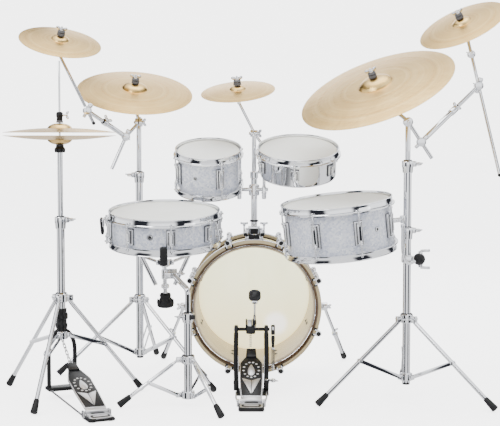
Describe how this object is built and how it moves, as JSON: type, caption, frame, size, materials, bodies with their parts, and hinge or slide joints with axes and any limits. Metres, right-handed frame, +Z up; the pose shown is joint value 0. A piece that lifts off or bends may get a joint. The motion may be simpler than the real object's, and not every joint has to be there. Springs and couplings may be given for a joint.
{
  "type": "acoustic drum kit",
  "caption": "Compact acoustic drum kit set up for playing: bass drum with pedal, snare on a folding basket stand, toms on a post, hi-hat, and cymbals on boom stands.",
  "frame": {"origin": "on the floor, under the base plate of the bass drum pedal, in the middle plane of the bass drum", "axes": "+X to the drummer's right, across the kit; +Y away from the drummer, along the bass drum; +Z up"},
  "size_m": [1.6655, 1.1364, 1.2907],
  "materials": {
    "pearl_wrap": "white pearl wrap, glossy, with a silvery flake",
    "maple": "natural maple, satin lacquer",
    "chrome": "bright polished plating",
    "black_metal": "black powder coat, satin",
    "black_rubber": "moulded, matt",
    "film": "polyester film, cloudy ivory",
    "bronze": "lathed bell bronze, brilliant"
  },
  "bodies": {
    "kit_frame": {"bass_shell": "pearl_wrap", "bass_batter_hoop": "maple", "bass_front_hoop": "maple", "bass_batter_head": "film", "bass_front_head": "film", "tom_bracket": "chrome", "pedal_base": "black_metal", "pedal_chain": "chrome", "pedal_spring": "chrome", "snare_stand_tube": "chrome", "left_stand_base": "chrome", "right_stand_base": "chrome", "hihat_stand": "chrome", "hihat_bottom_cymbal": "bronze"},
    "spur_left": {"spur_left": "chrome"},
    "spur_right": {"spur_right": "chrome"},
    "pedal_footboard": {"pedal_footboard": "black_metal"},
    "beater_axle": {"pedal_axle": "black_metal", "beater": "black_metal"},
    "snare_stand_collar": {"snare_stand_collar": "chrome"},
    "snare_stand_leg_1": {"snare_stand_leg_1": "chrome"},
    "snare_stand_strut_1": {"snare_stand_strut_1": "chrome"},
    "snare_stand_leg_2": {"snare_stand_leg_2": "chrome"},
    "snare_stand_strut_2": {"snare_stand_strut_2": "chrome"},
    "snare_stand_leg_3": {"snare_stand_leg_3": "chrome"},
    "snare_stand_strut_3": {"snare_stand_strut_3": "chrome"},
    "snare_stand_upper": {"snare_stand_upper_tube": "chrome"},
    "snare_basket": {"basket_tilter": "chrome", "snare_shell": "pearl_wrap", "snare_batter_hoop": "chrome", "snare_bottom_hoop": "chrome", "snare_batter_head": "film", "snare_bottom_head": "film", "snare_wires": "chrome", "snare_strainer": "chrome"},
    "basket_arm_1": {"basket_arm_1": "chrome"},
    "basket_arm_2": {"basket_arm_2": "chrome"},
    "basket_arm_3": {"basket_arm_3": "chrome"},
    "basket_knob": {"basket_knob": "black_rubber"},
    "strainer_lever": {"strainer_lever": "black_metal"},
    "tom_post": {"tom_post": "chrome"},
    "tom": {"tom_shell": "pearl_wrap", "tom_hardware": "chrome", "tom_batter_head": "film"},
    "timbale": {"timbale_shell": "chrome", "timbale_hoop": "chrome", "timbale_head": "film"},
    "splash_cymbal": {"splash_cymbal": "bronze"},
    "left_stand_upper": {"left_stand_upper": "chrome"},
    "crash_cymbal": {"crash_cymbal": "bronze"},
    "small_crash_cymbal": {"small_crash_cymbal": "bronze"},
    "right_stand_upper": {"right_stand_upper": "chrome"},
    "ride_cymbal": {"ride_cymbal": "bronze"},
    "right_crash_cymbal": {"right_crash_cymbal": "bronze"},
    "side_snare": {"side_snare_shell": "pearl_wrap", "side_snare_hardware": "chrome", "side_snare_head": "film"},
    "hihat_footboard": {"hihat_footboard": "black_metal"},
    "hihat_rod": {"hihat_rod": "chrome", "hihat_top_cymbal": "bronze"}
  },
  "joints": [
    {"name": "spur_left_fold", "type": "hinge", "parent": "kit_frame", "child": "spur_left", "pos_m": [-0.2475, 0.35, 0.24], "axis": [1, 0, 0], "range_deg": [0, 37]},
    {"name": "spur_right_fold", "type": "hinge", "parent": "kit_frame", "child": "spur_right", "pos_m": [0.2475, 0.35, 0.24], "axis": [1, 0, 0], "range_deg": [0, 37]},
    {"name": "pedal_press", "type": "hinge", "parent": "kit_frame", "child": "pedal_footboard", "pos_m": [-0.01, -0.185, 0.024], "axis": [-1, 0, 0], "range_deg": [0, 14.5], "stiffness_Nm_per_rad": 10, "springref_deg": -20.05, "deforming": ["pedal_chain"]},
    {"name": "beater_swing", "type": "hinge", "parent": "kit_frame", "child": "beater_axle", "pos_m": [-0.01, 0.066, 0.205], "axis": [-1, 0, 0], "range_deg": [0, 58.2], "deforming": ["pedal_spring"]},
    {"name": "snare_stand_fold", "type": "slide", "parent": "kit_frame", "child": "snare_stand_collar", "axis": [0, 0, 1], "range_m": [0, 0.1]},
    {"name": "snare_stand_leg_1_fold", "type": "hinge", "parent": "snare_stand_collar", "child": "snare_stand_leg_1", "pos_m": [-0.23504, -0.15521, 0.145], "axis": [0.1736, -0.9848, 0], "range_deg": [0, 41]},
    {"name": "snare_stand_leg_2_fold", "type": "hinge", "parent": "snare_stand_collar", "child": "snare_stand_leg_2", "pos_m": [-0.1905, -0.17598, 0.145], "axis": [0.866, 0.5, 0], "range_deg": [0, 41]},
    {"name": "snare_stand_leg_3_fold", "type": "hinge", "parent": "snare_stand_collar", "child": "snare_stand_leg_3", "pos_m": [-0.19524, -0.12181, 0.145], "axis": [-0.9397, 0.342, 0], "range_deg": [0, 41]},
    {"name": "snare_stand_strut_1_fold", "type": "hinge", "parent": "kit_frame", "child": "snare_stand_strut_1", "pos_m": [-0.23504, -0.15521, 0.035], "axis": [-0.1736, 0.9848, 0], "range_deg": [0, 51]},
    {"name": "snare_stand_strut_2_fold", "type": "hinge", "parent": "kit_frame", "child": "snare_stand_strut_2", "pos_m": [-0.1905, -0.17598, 0.035], "axis": [-0.866, -0.5, 0], "range_deg": [0, 51]},
    {"name": "snare_stand_strut_3_fold", "type": "hinge", "parent": "kit_frame", "child": "snare_stand_strut_3", "pos_m": [-0.19524, -0.12181, 0.035], "axis": [0.9397, -0.342, 0], "range_deg": [0, 51]},
    {"name": "snare_stand_height", "type": "slide", "parent": "kit_frame", "child": "snare_stand_upper", "axis": [0, 0, 1], "range_m": [0, 0.05]},
    {"name": "basket_tilt", "type": "hinge", "parent": "snare_stand_upper", "child": "snare_basket", "pos_m": [-0.282, -0.0523, 0.40005], "axis": [1, 0, 0], "range_deg": [-8, 8]},
    {"name": "basket_clamp", "type": "slide", "parent": "snare_basket", "child": "basket_knob", "axis": [0, 0.134, -0.991], "range_m": [0, 0.01]},
    {"name": "basket_arm_1_open", "type": "hinge", "parent": "snare_basket", "child": "basket_arm_1", "pos_m": [-0.28074, -0.08078, 0.43182], "axis": [0.9986, 0.0519, 0.007], "range_deg": [0, 8.1]},
    {"name": "basket_arm_2_open", "type": "hinge", "parent": "snare_basket", "child": "basket_arm_2", "pos_m": [-0.26187, -0.04408, 0.43679], "axis": [-0.5446, 0.8311, 0.1124], "range_deg": [0, 8.1]},
    {"name": "basket_arm_3_open", "type": "hinge", "parent": "snare_basket", "child": "basket_arm_3", "pos_m": [-0.30338, -0.04623, 0.43649], "axis": [-0.454, -0.883, -0.1194], "range_deg": [0, 8.1]},
    {"name": "strainer_throw", "type": "hinge", "parent": "snare_basket", "child": "strainer_lever", "pos_m": [-0.47861, -0.03313, 0.57015], "axis": [0.2079, 0.9693, 0.1311], "range_deg": [0, 70]},
    {"name": "tom_post_height", "type": "slide", "parent": "kit_frame", "child": "tom_post", "axis": [0, 0, 1], "range_m": [0, 0.02]},
    {"name": "tom_tilt", "type": "hinge", "parent": "tom_post", "child": "tom", "pos_m": [-0.0505, 0.289, 0.722], "axis": [1, 0, 0], "range_deg": [-12, 4]},
    {"name": "timbale_tilt", "type": "hinge", "parent": "tom_post", "child": "timbale", "pos_m": [0.034, 0.289, 0.722], "axis": [1, 0, 0], "range_deg": [-12, 4]},
    {"name": "left_stand_height", "type": "slide", "parent": "kit_frame", "child": "left_stand_upper", "axis": [0, 0, 1], "range_m": [0, 0.05]},
    {"name": "right_stand_height", "type": "slide", "parent": "kit_frame", "child": "right_stand_upper", "axis": [0, 0, 1], "range_m": [0, 0.05]},
    {"name": "splash_rock", "type": "hinge", "parent": "tom_post", "child": "splash_cymbal", "pos_m": [-0.05663, 0.29394, 1.00359], "axis": [0.9962, 0, 0.0872], "range_deg": [-4, 4]},
    {"name": "crash_rock", "type": "hinge", "parent": "left_stand_upper", "child": "crash_cymbal", "pos_m": [-0.41644, 0.42758, 1.01609], "axis": [0.9945, 0, -0.1045], "range_deg": [-4, 4]},
    {"name": "small_crash_rock", "type": "hinge", "parent": "left_stand_upper", "child": "small_crash_cymbal", "pos_m": [-0.65585, 0.29152, 1.17154], "axis": [0.9781, 0, -0.2079], "range_deg": [-4, 4]},
    {"name": "ride_rock", "type": "hinge", "parent": "right_stand_upper", "child": "ride_cymbal", "pos_m": [0.37489, -0.01496, 1.01624], "axis": [0.9245, 0, 0.3811], "range_deg": [-4, 4]},
    {"name": "right_crash_rock", "type": "hinge", "parent": "right_stand_upper", "child": "right_crash_cymbal", "pos_m": [0.69006, 0.24115, 1.22451], "axis": [0.891, 0, 0.454], "range_deg": [-4, 4]},
    {"name": "side_snare_tilt", "type": "hinge", "parent": "kit_frame", "child": "side_snare", "pos_m": [0.4619, -0.092, 0.57451], "axis": [1, 0, 0], "range_deg": [-8, 8]},
    {"name": "hihat_press", "type": "hinge", "parent": "kit_frame", "child": "hihat_footboard", "pos_m": [-0.468, -0.323, 0.022], "axis": [-0.8997, -0.4365, 0], "range_deg": [0, 9], "stiffness_Nm_per_rad": 10, "springref_deg": -22.92},
    {"name": "hihat_close", "type": "slide", "parent": "kit_frame", "child": "hihat_rod", "axis": [0, 0, -1], "range_m": [0, 0.007]}
  ],
  "couplings": [
    {"joint": "beater_swing", "follows": "pedal_press", "ratio": 4},
    {"joint": "snare_stand_leg_1_fold", "follows": "snare_stand_fold", "rad_per_m": 7.086},
    {"joint": "snare_stand_leg_2_fold", "follows": "snare_stand_fold", "rad_per_m": 7.086},
    {"joint": "snare_stand_leg_3_fold", "follows": "snare_stand_fold", "rad_per_m": 7.086},
    {"joint": "snare_stand_strut_1_fold", "follows": "snare_stand_fold", "rad_per_m": 8.8488},
    {"joint": "snare_stand_strut_2_fold", "follows": "snare_stand_fold", "rad_per_m": 8.8488},
    {"joint": "snare_stand_strut_3_fold", "follows": "snare_stand_fold", "rad_per_m": 8.8488},
    {"joint": "basket_arm_1_open", "follows": "basket_clamp", "rad_per_m": 13.963},
    {"joint": "basket_arm_2_open", "follows": "basket_clamp", "rad_per_m": 13.963},
    {"joint": "basket_arm_3_open", "follows": "basket_clamp", "rad_per_m": 13.963},
    {"joint": "hihat_close", "follows": "hihat_press", "m_per_rad": 0.04329}
  ]
}
